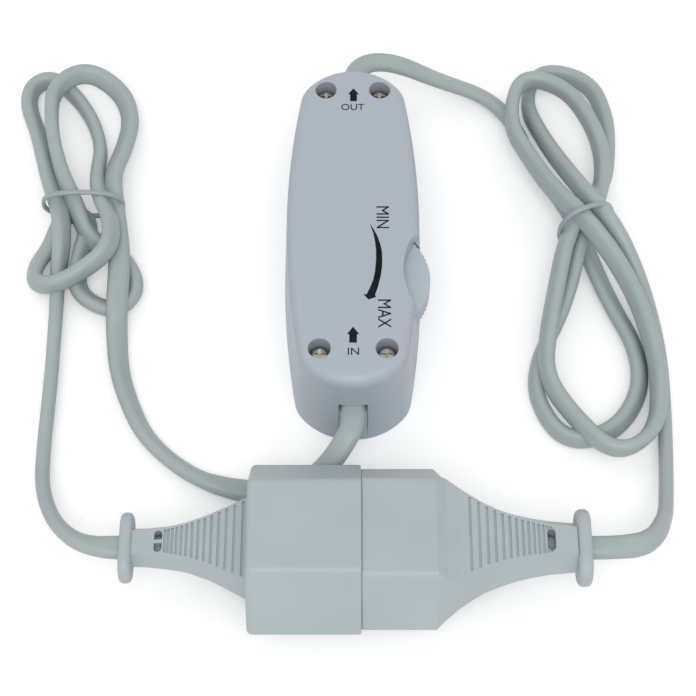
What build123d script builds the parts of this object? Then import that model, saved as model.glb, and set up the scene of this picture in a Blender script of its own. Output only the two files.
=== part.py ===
"""In-line dimmer on a flat extension cord, with its contour plug and trailing socket.

Millimetres, +Z up. The origin is the middle of the dimmer's flat underside. +Y points to the
end marked OUT, +X to the side where the dial sticks out.
"""
from build123d import *
import math
import os

os.makedirs("parts", exist_ok=True)

# Clearances
fit = 0.1
running_gap = 0.3
seat_gap = 0.05

# Casing
case_length = 84.0
case_width = 31.0
case_height = 24.5
case_draft = 1.1
widest_y = 3.0
corner_x = 12.5
corner_from_end = 7.0
corner_radius = 8.0
case_wall = 1.8
top_wall = 1.8
top_edge_radius = 2.6
base_plate = 2.0

# Flat twin cord
cord_width = 5.0
cord_thickness = 3.1
cord_exit_z = 13.4
cord_tube = 4.1
wire_diameter = 2.0
wire_spacing = 2.4
cord_inner_end = 12.5

# Case screws
in_screw_x = 7.1
out_screw_x = 6.1
in_screw_from_end = 9.5
out_screw_from_end = 7.4
screw_head_diameter = 4.2
screw_head_height = 1.6
screw_diameter = 2.6
screw_length = 11.0
screw_recess_depth = 4.5
recess_diameter = 4.7
recess_lip = 0.35
post_diameter = 7.2
pillar_diameter = 5.4
cross_width = 0.6
cross_span = 2.5
cross_depth = 0.9
screw_top_gap = 0.2

# Dial
dial_diameter = 28.0
dial_x = 2.7
dial_y = -13.0
dial_thickness = 5.0
dial_top_z = 20.0
dial_face = 1.6
dial_rim = 2.0
dial_hub_diameter = 10.0
knurl_count = 80
knurl_diameter = 0.7
scoop_radius = 17.5
scoop_depth = 4.0
scoop_wall = 1.5

# Potentiometer
shaft_diameter = 6.0
shaft_flat_depth = 1.4
shaft_end_cover = 1.2
pot_diameter = 16.0
pot_can_wall = 0.5
pot_collar_diameter = 8.6
pot_collar_height = 0.9
track_thickness = 1.2
rotor_diameter = 12.0
rotor_thickness = 1.4
wiper_height = 1.2
pin_width = 1.0
pin_thickness = 0.5
pin_spacing = 5.0
pin_from_rim = 2.4
lead_below_board = 1.0

# Circuit board
board_width = 23.0
board_length = 44.0
board_thickness = 1.6
board_corner = 1.5
standoff_height = 2.0
standoff_diameter = 3.4
board_screw_diameter = 1.8
board_screw_head = 3.0
board_screw_head_height = 1.2
board_screw_length = 4.0
board_screw_inset = 1.5
lead_diameter = 0.7

# Parts on the board
choke_outer = 12.0
choke_inner = 6.0
choke_height = 5.0
choke_wire = 0.9
choke_turns = 16
film_cap_size = (5.5, 13.0, 11.0)
film_cap_pitch = 10.0
small_cap_size = (2.6, 6.4, 6.0)
small_cap_pitch = 5.0
resistor_diameter = 2.3
resistor_length = 4.2
diac_diameter = 1.8
diac_length = 4.0
fuse_diameter = 3.6
fuse_length = 9.0
fuse_cap_length = 1.6
triac_size = (10.0, 4.4, 9.0)
triac_pitch = 2.54
triac_lift = 2.0
heat_sink_size = (11.6, 1.6, 15.0)
sink_lip_height = 1.4
sink_lip_length = 0.8
terminal_size = (6.6, 6.5, 8.0)
terminal_pitch = 3.2
terminal_bore = 2.6
terminal_screw_diameter = 2.4
terminal_lead_z = 3.6

# Cord grips
grip_length = 5.0
grip_thickness = 2.0
grip_rib = 2.0

# Connectors, both on one axis along X
connector_y = -72.4
mate_x = 1.6
pin_spread = 19.0
pin_diameter = 4.8
pin_length = 19.0
pin_shank = 9.6
pin_collar = 6.4
pin_collar_thickness = 1.5
plug_block_length = 23.0
plug_half_width = 19.0
plug_half_flat = 9.8
plug_half_height = 12.2
connector_z = plug_half_height
plug_core_half_width = 14.5
plug_core_half_height = 7.0
crimp_diameter = 3.4
crimp_length = 5.5
socket_half_width = 17.9
socket_half_flat = 10.4
socket_half_height = 11.6
socket_body_length = 15.0
socket_core_half_width = 13.4
socket_core_half_height = 6.6
contact_wall = 0.5
socket_core_length = 16.4
socket_entry = 2.0
contact_tail_from_axis = 4.9
contact_tail_length = 2.4
contact_strip_width = 2.4
plate_room_length = 0.7
socket_room_length = 2.6
socket_room_radius = 2.7
socket_room_height = 4.0
block_corner = 2.0
neck_corner = 0.6
block_back_edge = 1.2
face_edge = 0.4
shoulder_length = 2.0
plug_flange = (7.5, 4.0, 2.6)
socket_flange = (8.2, 4.5, 3.0)
neck_to_flange = 23.6
groove_count = 14
groove_width = 0.55
groove_depth = 0.45
groove_from_edge = 0.5
eye_width = 1.65
eye_length = 4.7
eye_bridge = 0.75

# Ties
tie_width = 1.2
tie_thickness = 0.9
in_tie_inside = (19.9, 7.9)
out_tie_inside = (12.3, 15.1)


def outline(inset=0.0):
    """Plan of the casing at its foot, drawn in by inset: two long side arcs and two end arcs."""
    side_x = case_width / 2 - inset
    end_y = case_length / 2 - inset
    turn_x = corner_x - inset
    turn_y = case_length / 2 - corner_from_end - inset / 2
    with BuildSketch(mode=Mode.PRIVATE) as plan:
        with BuildLine():
            ThreePointArc((turn_x, -turn_y), (side_x, widest_y), (turn_x, turn_y))
            ThreePointArc((turn_x, turn_y), (0, end_y), (-turn_x, turn_y))
            ThreePointArc((-turn_x, turn_y), (-side_x, widest_y), (-turn_x, -turn_y))
            ThreePointArc((-turn_x, -turn_y), (0, -end_y), (turn_x, -turn_y))
        make_face()
        fillet(plan.vertices(), corner_radius - inset)
    return plan.sketch


def drafted(inset, height):
    """Solid on the plan of the casing, drawn in towards the top by the casing's draft."""
    with BuildPart() as body:
        with BuildSketch():
            add(outline(inset))
        with BuildSketch(Plane.XY.offset(height)):
            add(outline(inset + case_draft * height / case_height))
        loft(ruled=True)
    return body.part


def save(part, name):
    """Label a finished piece and write it under its own name."""
    part.label = name
    export_step(part, f"parts/{name}.step")


# Places that several pieces share
in_screw_y = -case_length / 2 + in_screw_from_end
out_screw_y = case_length / 2 - out_screw_from_end
in_screws = [(-in_screw_x, in_screw_y), (in_screw_x, in_screw_y)]
out_screws = [(-out_screw_x, out_screw_y), (out_screw_x, out_screw_y)]
screw_places = in_screws + out_screws
screw_seat_z = case_height - screw_recess_depth
slot_half_width = cord_width / 2 + 0.6
cord_top_z = cord_exit_z + cord_thickness / 2
cord_under_z = cord_exit_z - cord_thickness / 2
dial_bottom_z = dial_top_z - dial_thickness
dial_slot_z = dial_bottom_z - running_gap
inner_top_z = case_height - top_wall
post_foot_z = dial_bottom_z + 1.0
pillar_top_z = post_foot_z - screw_top_gap
board_z = base_plate + standoff_height
board_top_z = board_z + board_thickness
board_y = 1.0
scoop_x = case_width / 2 - scoop_depth - 0.7 + scoop_radius
in_end_y = -case_length / 2 + cord_inner_end
out_end_y = case_length / 2 - cord_inner_end + 1.0
slot_length = case_wall + 3.0


def is_recess_rim(edge):
    """Whether the edge is the mouth of a screw recess in the top face."""
    at_top = abs(edge.center().Z - case_height) < 0.01
    return at_top and abs(edge.radius - recess_diameter / 2) < 0.01


# Upper case: a drafted shell with posts, dial housing, scoop, slots and screw recesses
with BuildPart() as dial_housing:
    add(drafted(case_wall / 2, inner_top_z))
    with BuildSketch(Plane.XY.offset(dial_slot_z)):
        with Locations((scoop_x, dial_y)):
            Circle(scoop_radius + scoop_wall)
    extrude(amount=inner_top_z - dial_slot_z, mode=Mode.INTERSECT)

with BuildPart() as upper_case:
    add(drafted(0.0, case_height))
    fillet(upper_case.edges().group_by(Axis.Z)[-1], top_edge_radius)
    add(drafted(case_wall, inner_top_z), mode=Mode.SUBTRACT)
    add(dial_housing.part)
    with BuildSketch(Plane.XY.offset(post_foot_z)):
        with Locations(*screw_places):
            Circle(post_diameter / 2)
    extrude(amount=inner_top_z - post_foot_z)
    grip_top_z = cord_top_z + seat_gap + grip_thickness
    with BuildSketch(Plane.XY.offset(grip_top_z)):
        with Locations((0, in_screw_y), (0, out_screw_y)):
            Rectangle(2 * (out_screw_x - post_diameter / 2) + 2.0, grip_rib)
    extrude(amount=inner_top_z - grip_top_z)
    with BuildSketch(Plane.XY.offset(screw_seat_z)):
        with Locations(*screw_places):
            Circle(recess_diameter / 2)
    extrude(amount=screw_recess_depth, mode=Mode.SUBTRACT)
    rims = upper_case.edges().filter_by(GeomType.CIRCLE).filter_by(is_recess_rim)
    fillet(rims, recess_lip)
    with BuildSketch(Plane.XY.offset(post_foot_z)):
        with Locations(*screw_places):
            Circle(screw_diameter / 2 + fit)
    extrude(amount=screw_seat_z - post_foot_z, mode=Mode.SUBTRACT)
    with BuildSketch(Plane.XY.offset(dial_top_z)):
        with Locations((scoop_x, dial_y)):
            Circle(scoop_radius)
    extrude(amount=case_height - dial_top_z, mode=Mode.SUBTRACT)
    with BuildSketch(Plane.XY.offset(dial_slot_z)):
        with Locations((dial_x, dial_y)):
            Circle(dial_diameter / 2 + running_gap)
    extrude(amount=dial_thickness + 2 * running_gap, mode=Mode.SUBTRACT)
    slot_middle = (case_length - slot_length) / 2
    with BuildSketch():
        with Locations((0, slot_middle), (0, -slot_middle)):
            Rectangle(2 * slot_half_width, slot_length)
    extrude(amount=cord_top_z + fit, mode=Mode.SUBTRACT)
save(upper_case.part, "upper_case")

# Lower case: base plate with screw pillars, cord saddles, board standoffs and slot tongues
corner_step_x = board_width / 2 - board_screw_inset
corner_step_y = board_length / 2 - board_screw_inset
board_corners = [(-corner_step_x, board_y + corner_step_y), (corner_step_x, board_y - corner_step_y)]
rest_corners = [(corner_step_x, board_y + corner_step_y), (-corner_step_x, board_y - corner_step_y)]
tongue_width = 2 * slot_half_width - 2 * fit
tongue_length = case_wall + 2.6
tongue_middle = (case_length - tongue_length) / 2
with BuildPart() as lower_case:
    with BuildSketch():
        add(outline(case_wall + fit))
    extrude(amount=base_plate)
    with BuildSketch():
        with Locations(*screw_places):
            Circle(pillar_diameter / 2)
    extrude(amount=pillar_top_z)
    with BuildSketch():
        with Locations((0, in_screw_y)):
            Rectangle(2 * in_screw_x - pillar_diameter + 1.0, grip_length)
        with Locations((0, out_screw_y)):
            Rectangle(2 * out_screw_x - pillar_diameter + 1.0, grip_length)
        with Locations((0, tongue_middle), (0, -tongue_middle)):
            Rectangle(tongue_width, tongue_length)
    extrude(amount=cord_under_z)
    add(drafted(seat_gap, case_height), mode=Mode.INTERSECT)
    with BuildSketch(Plane.XY.offset(base_plate)):
        with Locations(*board_corners, *rest_corners):
            Circle(standoff_diameter / 2)
    extrude(amount=standoff_height)
    with BuildSketch(Plane.XY.offset(pillar_top_z)):
        with Locations(*screw_places):
            Circle(screw_diameter / 2 + fit)
    extrude(amount=-screw_length, mode=Mode.SUBTRACT)
    with BuildSketch(Plane.XY.offset(board_z)):
        with Locations(*board_corners):
            Circle(board_screw_diameter / 2 + fit)
    extrude(amount=-(board_screw_length - board_thickness + running_gap), mode=Mode.SUBTRACT)
save(lower_case.part, "lower_case")

# Four pan-head case screws
with BuildPart() as case_screws:
    with BuildSketch(Plane.XY.offset(screw_seat_z)):
        with Locations(*screw_places):
            Circle(screw_head_diameter / 2)
    extrude(amount=screw_head_height)
    fillet(case_screws.edges().group_by(Axis.Z)[-1], screw_head_height / 2)
    with BuildSketch(Plane.XY.offset(screw_seat_z)):
        with Locations(*screw_places):
            Circle(screw_diameter / 2)
    extrude(amount=-screw_length)
    chamfer(case_screws.edges().group_by(Axis.Z)[0], screw_diameter / 4)
    with BuildSketch(Plane.XY.offset(screw_seat_z + screw_head_height)):
        with Locations(*screw_places):
            Rectangle(cross_span, cross_width)
            Rectangle(cross_width, cross_span)
    extrude(amount=-cross_depth, mode=Mode.SUBTRACT)
save(case_screws.part, "case_screws")

# Cord grips, pressed down on the flat cord by a rib of the upper case
for grip_name, grip_y in (("input_cord_grip", in_screw_y), ("output_cord_grip", out_screw_y)):
    with BuildPart() as cord_grip:
        with BuildSketch(Plane.XY.offset(cord_top_z + seat_gap)):
            with Locations((0, grip_y)):
                Rectangle(2 * (out_screw_x - post_diameter / 2) - 2 * fit, grip_length)
        extrude(amount=grip_thickness)
        chamfer(cord_grip.edges().filter_by(Axis.X).group_by(Axis.Z)[0], 0.5)
    save(cord_grip.part, grip_name)

# Dial wheel: a knurled disc, hollow below, with a hub on the shaft's flat
shaft_top_z = dial_top_z - shaft_end_cover
with BuildPart() as shaft_bore:
    with BuildSketch(Plane.XY.offset(dial_bottom_z)):
        with Locations((dial_x, dial_y)):
            Circle(shaft_diameter / 2 + seat_gap)
        with Locations((dial_x, dial_y + shaft_diameter / 2 + seat_gap)):
            Rectangle(shaft_diameter, 2 * shaft_flat_depth, mode=Mode.SUBTRACT)
    extrude(amount=shaft_top_z + seat_gap - dial_bottom_z)

with BuildPart() as dial_wheel:
    with BuildSketch(Plane.XY.offset(dial_bottom_z)):
        with Locations((dial_x, dial_y)):
            Circle(dial_diameter / 2)
            with PolarLocations(dial_diameter / 2 + knurl_diameter / 4, knurl_count):
                Circle(knurl_diameter / 2, mode=Mode.SUBTRACT)
    extrude(amount=dial_thickness)
    with BuildSketch(Plane.XY.offset(dial_bottom_z)):
        with Locations((dial_x, dial_y)):
            Circle(dial_diameter / 2 - dial_rim)
            Circle(dial_hub_diameter / 2, mode=Mode.SUBTRACT)
    extrude(amount=dial_thickness - dial_face, mode=Mode.SUBTRACT)
    add(shaft_bore.part, mode=Mode.SUBTRACT)
save(dial_wheel.part, "dial_wheel")

# Potentiometer: wafer with its track, can, shaft with rotor, wiper and three pins
track_z = board_top_z + seat_gap
can_z = track_z + track_thickness
wiper_z = can_z + seat_gap
rotor_z = wiper_z + wiper_height
can_top_z = dial_bottom_z - pot_collar_height - 0.6
pin_row_y = dial_y - pot_diameter / 2 + pin_from_rim
pin_places = [(dial_x + k * pin_spacing, pin_row_y) for k in (-1, 0, 1)]
with BuildPart() as potentiometer_track:
    with BuildSketch(Plane.XY.offset(track_z)):
        with Locations((dial_x, dial_y)):
            Circle(pot_diameter / 2)
    extrude(amount=track_thickness)
    with BuildSketch(Plane.XY.offset(track_z)):
        with Locations(*pin_places):
            Rectangle(pin_width + 2 * seat_gap, pin_thickness + 2 * seat_gap)
    extrude(amount=track_thickness, mode=Mode.SUBTRACT)
save(potentiometer_track.part, "potentiometer_track")

with BuildPart() as potentiometer_can:
    with BuildSketch(Plane.XY.offset(can_z)):
        with Locations((dial_x, dial_y)):
            Circle(pot_diameter / 2)
    extrude(amount=can_top_z - can_z)
    fillet(potentiometer_can.edges().group_by(Axis.Z)[-1], 0.6)
    with BuildSketch(Plane.XY.offset(can_z)):
        with Locations((dial_x, dial_y)):
            Circle(pot_diameter / 2 - pot_can_wall)
    extrude(amount=can_top_z - can_z - pot_can_wall, mode=Mode.SUBTRACT)
    with BuildSketch(Plane.XY.offset(can_top_z)):
        with Locations((dial_x, dial_y)):
            Circle(pot_collar_diameter / 2)
    extrude(amount=pot_collar_height)
    with BuildSketch(Plane.XY.offset(can_z)):
        with Locations((dial_x, dial_y)):
            Circle(shaft_diameter / 2 + fit)
    extrude(amount=dial_bottom_z - can_z, mode=Mode.SUBTRACT)
save(potentiometer_can.part, "potentiometer_can")

with BuildPart() as potentiometer_shaft:
    with BuildSketch(Plane.XY.offset(rotor_z)):
        with Locations((dial_x, dial_y)):
            Circle(rotor_diameter / 2)
    extrude(amount=rotor_thickness)
    with BuildSketch(Plane.XY.offset(rotor_z)):
        with Locations((dial_x, dial_y)):
            Circle(shaft_diameter / 2)
    extrude(amount=shaft_top_z - rotor_z)
    with BuildSketch(Plane.XY.offset(dial_bottom_z)):
        with Locations((dial_x, dial_y + shaft_diameter / 2)):
            Rectangle(shaft_diameter, 2 * shaft_flat_depth)
    extrude(amount=dial_thickness, mode=Mode.SUBTRACT)
save(potentiometer_shaft.part, "potentiometer_shaft")

with BuildPart() as wiper:
    with BuildSketch(Plane.XY.offset(wiper_z)):
        with Locations((dial_x, dial_y)):
            Circle(rotor_diameter / 2 - 0.8)
            Circle(rotor_diameter / 2 - 2.2, mode=Mode.SUBTRACT)
        with Locations((dial_x, dial_y - rotor_diameter / 2)):
            Rectangle(rotor_diameter, rotor_diameter, mode=Mode.SUBTRACT)
    extrude(amount=wiper_height)
save(wiper.part, "wiper")

pin_foot_z = board_z - lead_below_board
with BuildPart() as potentiometer_pins:
    with BuildSketch(Plane.XY.offset(pin_foot_z)):
        with Locations(*pin_places):
            Rectangle(pin_width, pin_thickness)
    extrude(amount=track_z + track_thickness - pin_foot_z)
save(potentiometer_pins.part, "potentiometer_pins")

# Places of the parts on the board
choke_place = (-4.6, 8.0)
film_cap_place = (9.0, 8.4)
small_cap_place = (4.8, 5.2)
resistor_places = [(4.1, 10.8), (4.1, 14.2)]
diac_place = (-9.6, -18.6)
fuse_place = (-9.4, -3.0)
heat_sink_place = (-2.4, 21.2)
triac_place = (-2.4, 21.2 - heat_sink_size[1] / 2 - seat_gap - triac_size[1] / 2)
in_terminal_place = (-9.0, -12.6)
out_terminal_place = (7.6, 19.2)


def legs(places, top_z):
    """Straight leads from a part down through the board, as sketches on the part's underside."""
    with BuildPart(mode=Mode.PRIVATE) as pins:
        with BuildSketch(Plane.XY.offset(pin_foot_z)):
            with Locations(*places):
                Circle(lead_diameter / 2)
        extrude(amount=top_z - pin_foot_z)
    return pins.part


choke_leg_radius = (choke_outer + choke_wire) / 2
choke_leg_angle = 2 * math.pi / choke_turns
choke_leg_x = choke_leg_radius * math.sin(choke_leg_angle)
choke_leg_y = choke_place[1] - choke_leg_radius * math.cos(choke_leg_angle)
choke_legs = [(choke_place[0] - choke_leg_x, choke_leg_y), (choke_place[0] + choke_leg_x, choke_leg_y)]
film_legs = [(film_cap_place[0], film_cap_place[1] + k * film_cap_pitch / 2) for k in (-1, 1)]
small_legs = [(small_cap_place[0], small_cap_place[1] + k * small_cap_pitch / 2) for k in (-1, 1)]
triac_legs = [(triac_place[0] + k * triac_pitch, triac_place[1]) for k in (-1, 0, 1)]

# Circuit board, with a hole for every lead and screw
with BuildPart() as circuit_board:
    with BuildSketch(Plane.XY.offset(board_z)):
        with Locations((0, board_y)):
            RectangleRounded(board_width, board_length, board_corner)
    extrude(amount=board_thickness)
    with BuildSketch(Plane.XY.offset(board_z)):
        with Locations(*board_corners):
            Circle(board_screw_diameter / 2 + fit)
        with Locations(*choke_legs, *film_legs, *small_legs, *triac_legs):
            Circle(lead_diameter / 2 + fit)
        with Locations(*pin_places):
            Rectangle(pin_width + 2 * fit, pin_thickness + 2 * fit)
    extrude(amount=board_thickness, mode=Mode.SUBTRACT)
save(circuit_board.part, "circuit_board")

with BuildPart() as board_screws:
    with BuildSketch(Plane.XY.offset(board_top_z)):
        with Locations(*board_corners):
            Circle(board_screw_head / 2)
    extrude(amount=board_screw_head_height)
    fillet(board_screws.edges().group_by(Axis.Z)[-1], 0.5)
    with BuildSketch(Plane.XY.offset(board_top_z)):
        with Locations(*board_corners):
            Circle(board_screw_diameter / 2)
    extrude(amount=-board_screw_length)
save(board_screws.part, "board_screws")

# Choke: a toroid core and its winding of separate turns joined by a ring
with BuildPart() as choke_core:
    with BuildSketch(Plane.XY.offset(board_top_z + choke_wire)):
        with Locations(choke_place):
            Circle(choke_outer / 2)
            Circle(choke_inner / 2, mode=Mode.SUBTRACT)
    extrude(amount=choke_height)
save(choke_core.part, "choke_core")

with BuildPart() as choke_winding:
    with BuildSketch(Plane.XY.offset(board_top_z)):
        with Locations(choke_place):
            with PolarLocations(0, choke_turns):
                with Locations(((choke_outer + choke_inner) / 4, 0)):
                    Rectangle((choke_outer - choke_inner) / 2 + 2 * choke_wire, choke_wire)
            Circle(choke_inner / 2)
            Circle(choke_inner / 2 - choke_wire, mode=Mode.SUBTRACT)
    extrude(amount=choke_height + 2 * choke_wire)
    with BuildSketch(Plane.XY.offset(board_top_z + choke_wire - seat_gap)):
        with Locations(choke_place):
            Circle(choke_outer / 2 + seat_gap)
            Circle(choke_inner / 2 - seat_gap, mode=Mode.SUBTRACT)
    extrude(amount=choke_height + 2 * seat_gap, mode=Mode.SUBTRACT)
    add(legs(choke_legs, board_top_z + choke_wire))
save(choke_winding.part, "choke_winding")


def boxed_part(place, size, corner, leg_places):
    """A box-shaped part standing on the board with rounded edges and its leads."""
    with BuildPart() as part:
        with BuildSketch(Plane.XY.offset(board_top_z)):
            with Locations(place):
                Rectangle(size[0], size[1])
        extrude(amount=size[2])
        fillet(part.edges().filter_by(Axis.Z), corner)
        fillet(part.edges().group_by(Axis.Z)[-1], corner)
        add(legs(leg_places, board_top_z + 1.0))
    return part.part


save(boxed_part(film_cap_place, film_cap_size, 0.5, film_legs), "suppression_capacitor")
save(boxed_part(small_cap_place, small_cap_size, 0.5, small_legs), "timing_capacitor")


def axial_part(places, diameter, length, along):
    """Cylindrical parts lying on the board, one solid each."""
    with BuildPart() as part:
        for x, y in places:
            start = Vector(x, y, board_top_z + diameter / 2 + seat_gap) - along * (length / 2)
            with BuildSketch(Plane(origin=start, z_dir=along)):
                Circle(diameter / 2)
            extrude(amount=length)
    return part.part


across = Vector(1, 0, 0)
save(axial_part(resistor_places, resistor_diameter, resistor_length, across), "resistors")
save(axial_part([diac_place], diac_diameter, diac_length, across), "diac")

lengthwise = Vector(0, 1, 0)
glass_length = fuse_length - 2 * fuse_cap_length
save(axial_part([fuse_place], fuse_diameter - 0.4, glass_length, lengthwise), "fuse_tube")
cap_shift = (fuse_length - fuse_cap_length) / 2
fuse_cap_places = [(fuse_place[0], fuse_place[1] - cap_shift), (fuse_place[0], fuse_place[1] + cap_shift)]
save(axial_part(fuse_cap_places, fuse_diameter, fuse_cap_length, lengthwise), "fuse_caps")

# Triac against its heat sink
with BuildPart() as triac:
    with BuildSketch(Plane.XY.offset(board_top_z + triac_lift)):
        with Locations(triac_place):
            Rectangle(triac_size[0], triac_size[1])
    extrude(amount=triac_size[2])
    chamfer(triac.edges().group_by(Axis.Z)[-1].sort_by(Axis.Y)[0], 1.0)
    add(legs(triac_legs, board_top_z + triac_lift + 0.5))
save(triac.part, "triac")

with BuildPart() as heat_sink:
    with BuildSketch(Plane.XY.offset(board_top_z)):
        with Locations(heat_sink_place):
            Rectangle(heat_sink_size[0], heat_sink_size[1])
    extrude(amount=heat_sink_size[2])
    sink_front_y = heat_sink_place[1] + heat_sink_size[1] / 2
    with BuildSketch(Plane.XY.offset(board_top_z + heat_sink_size[2] - sink_lip_height)):
        with Locations((heat_sink_place[0], sink_front_y + sink_lip_length / 2)):
            Rectangle(heat_sink_size[0], sink_lip_length + 2 * seat_gap)
    extrude(amount=sink_lip_height)
    fillet(heat_sink.edges().filter_by(Axis.X).group_by(Axis.Z)[-1], 0.5)
save(heat_sink.part, "heat_sink")


# Screw terminals: block with two bores, and its two screws
def terminal_block(place, entry):
    """Plastic block with two wire bores along entry and two screw wells above them."""
    along_x = abs(entry.X) > 0.5
    size = terminal_size if not along_x else (terminal_size[1], terminal_size[0], terminal_size[2])
    pitch = Vector(terminal_pitch / 2, 0, 0) if not along_x else Vector(0, terminal_pitch / 2, 0)
    middle = Vector(place[0], place[1], board_top_z + terminal_lead_z)
    with BuildPart() as block:
        with BuildSketch(Plane.XY.offset(board_top_z)):
            with Locations(place):
                Rectangle(size[0], size[1])
        extrude(amount=size[2])
        chamfer(block.edges().group_by(Axis.Z)[-1], 0.4)
        for side in (-1, 1):
            with BuildSketch(Plane(origin=middle + pitch * side + entry * terminal_size[1] / 2, z_dir=entry)):
                Circle(terminal_bore / 2)
            extrude(amount=-terminal_size[1] + 1.2, mode=Mode.SUBTRACT)
            with BuildSketch(Plane(origin=middle + pitch * side, z_dir=(0, 0, 1))):
                Circle(terminal_screw_diameter / 2 + fit)
            extrude(amount=size[2], mode=Mode.SUBTRACT)
    return block.part


def terminal_pair(place, entry):
    """Centres of the two screws of a terminal block."""
    along_x = abs(entry.X) > 0.5
    shift = (0, terminal_pitch / 2) if along_x else (terminal_pitch / 2, 0)
    return [(place[0] - shift[0], place[1] - shift[1]), (place[0] + shift[0], place[1] + shift[1])]


in_entry = Vector(0, -1, 0)
out_entry = Vector(0, 1, 0)
save(terminal_block(in_terminal_place, in_entry), "input_terminal_block")
save(terminal_block(out_terminal_place, out_entry), "output_terminal_block")

wire_top_z = board_top_z + terminal_lead_z + wire_diameter / 2 - 0.4
terminal_screw_places = terminal_pair(in_terminal_place, in_entry)
terminal_screw_places += terminal_pair(out_terminal_place, out_entry)
with BuildPart() as terminal_screws:
    with BuildSketch(Plane.XY.offset(wire_top_z)):
        with Locations(*terminal_screw_places):
            Circle(terminal_screw_diameter / 2)
    extrude(amount=board_top_z + terminal_size[2] - 0.8 - wire_top_z)
    with BuildSketch(Plane.XY.offset(board_top_z + terminal_size[2] - 0.8)):
        with Locations(*terminal_screw_places):
            Rectangle(terminal_screw_diameter, 0.5)
    extrude(amount=-0.6, mode=Mode.SUBTRACT)
save(terminal_screws.part, "terminal_screws")


# Tube along straight runs and the largest tangent arcs that the runs allow
def corner_radii(points):
    """Radius for each inner corner: 0.45 of the shorter run over the tangent of half the turn."""
    radii = []
    for before, corner, after in zip(points, points[1:], points[2:]):
        first = Vector(*corner) - Vector(*before)
        second = Vector(*after) - Vector(*corner)
        half_turn = math.radians(first.get_angle(second)) / 2
        radii.append(0.45 * min(first.length, second.length) / math.tan(half_turn))
    return radii


def tube(points, diameter, name):
    """Round tube along the rounded route, with its radii and its volume printed."""
    radii = corner_radii(points)
    with BuildPart() as part:
        with BuildLine() as path:
            FilletPolyline(*points, radius=radii)
        route = path.wires()[0]
        with BuildSketch(Plane(origin=route @ 0, z_dir=route % 0)):
            Circle(diameter / 2)
        sweep(path=route)
    length = route.length
    section = math.pi * diameter ** 2 / 4
    print(name, "length", round(length, 1), "radii", [round(r, 1) for r in radii])
    print(name, "volume over section times length", round(part.part.volume / (section * length), 4))
    return part.part


# Conductors inside the casing, from the cord's end to the terminals
def join_all(parts):
    """Several separate solids as one node."""
    with BuildPart() as group:
        for part in parts:
            add(part)
    return group.part


conductor_z = board_top_z + terminal_lead_z
conductor_end = terminal_size[1] / 2 - 2.2
in_wires = []
out_wires = []
for side in (-1, 1):
    end_x = in_terminal_place[0] + side * terminal_pitch / 2
    face_y = in_terminal_place[1] - terminal_size[1] / 2
    in_wires.append(tube([
        (side * wire_spacing / 2, in_end_y, cord_exit_z),
        (side * wire_spacing / 2, in_end_y + 2.6, cord_exit_z),
        (end_x, face_y - 3.0, conductor_z),
        (end_x, face_y + conductor_end, conductor_z)], wire_diameter, "in conductor"))
    end_x = out_terminal_place[0] + side * terminal_pitch / 2
    face_y = out_terminal_place[1] + terminal_size[1] / 2
    out_wires.append(tube([
        (side * wire_spacing / 2, out_end_y, cord_exit_z),
        (side * wire_spacing / 2, out_end_y - 2.2, cord_exit_z),
        (end_x, face_y + 2.2, conductor_z),
        (end_x, face_y - conductor_end, conductor_z)], wire_diameter, "out conductor"))
save(join_all(in_wires), "input_conductors")
save(join_all(out_wires), "output_conductors")


# Connectors: hexagonal sections square to X, lofted into one moulded body
def section_plane(x):
    """Plane square to the connectors' axis, its own x along +Y and its own y along +Z."""
    return Plane(origin=(x, connector_y, connector_z), x_dir=(0, 1, 0), z_dir=(1, 0, 0))


def hexagon(half_width, half_flat, half_height, corner=0.0):
    """Flattened hexagon with a point on each side and rounded corners, or sharp ones."""
    with BuildSketch(mode=Mode.PRIVATE) as face:
        Polygon(
            (half_width, 0), (half_flat, half_height), (-half_flat, half_height),
            (-half_width, 0), (-half_flat, -half_height), (half_flat, -half_height), align=None)
        if corner > 0:
            fillet(face.vertices(), corner)
    return face.sketch


def moulded_neck(sections):
    """Loft through sections, each x, half width, half flat and half height."""
    with BuildPart() as neck:
        for x, half_width, half_flat, half_height in sections:
            with BuildSketch(section_plane(x)):
                add(hexagon(half_width, half_flat, half_height))
        loft(ruled=True)
    return neck.part


def grip_grooves(sections):
    """Cutters for the grooves across the neck's upper and lower flats, closer towards the cord."""
    first, last = sections[0][0], sections[-1][0]
    with BuildPart() as cutters:
        for index in range(groove_count):
            share = index / (groove_count - 1)
            x = first + (last - first) * share * (1.45 - 0.45 * share)
            half_flat, half_height = at_station(sections, x)
            for level in (half_height - groove_depth, -half_height - 1.0):
                with Locations((x, connector_y, connector_z + level)):
                    Box(
                        groove_width, 2 * half_flat - 2 * groove_from_edge, groove_depth + 1.0,
                        align=(Align.CENTER, Align.CENTER, Align.MIN))
    return cutters.part


def at_station(sections, x):
    """Half flat and half height of the neck at x, between sections that give x and both."""
    for left, right in zip(sections, sections[1:]):
        low, high = min(left[0], right[0]), max(left[0], right[0])
        if low <= x <= high:
            share = (x - left[0]) / (right[0] - left[0])
            return left[1] + (right[1] - left[1]) * share, left[2] + (right[2] - left[2]) * share
    return sections[-1][1], sections[-1][2]


def flange(x, size):
    """Collar at the cord's end of a connector: size is half width, half height and thickness."""
    half_width, half_height, thickness = size
    with BuildPart() as collar:
        with BuildSketch(section_plane(x)):
            SlotOverall(2 * half_width, 2 * half_height)
        extrude(amount=thickness)
        fillet(collar.edges(), 0.42 * thickness)
    return collar.part


def cord_slot(x_from, x_to, clearance):
    """Passage of the flat cord along the connector's axis."""
    with BuildPart() as passage:
        with BuildSketch(section_plane(x_from)):
            SlotOverall(cord_width + 2 * clearance, cord_thickness + 2 * clearance)
        extrude(amount=x_to - x_from)
    return passage.part


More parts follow.
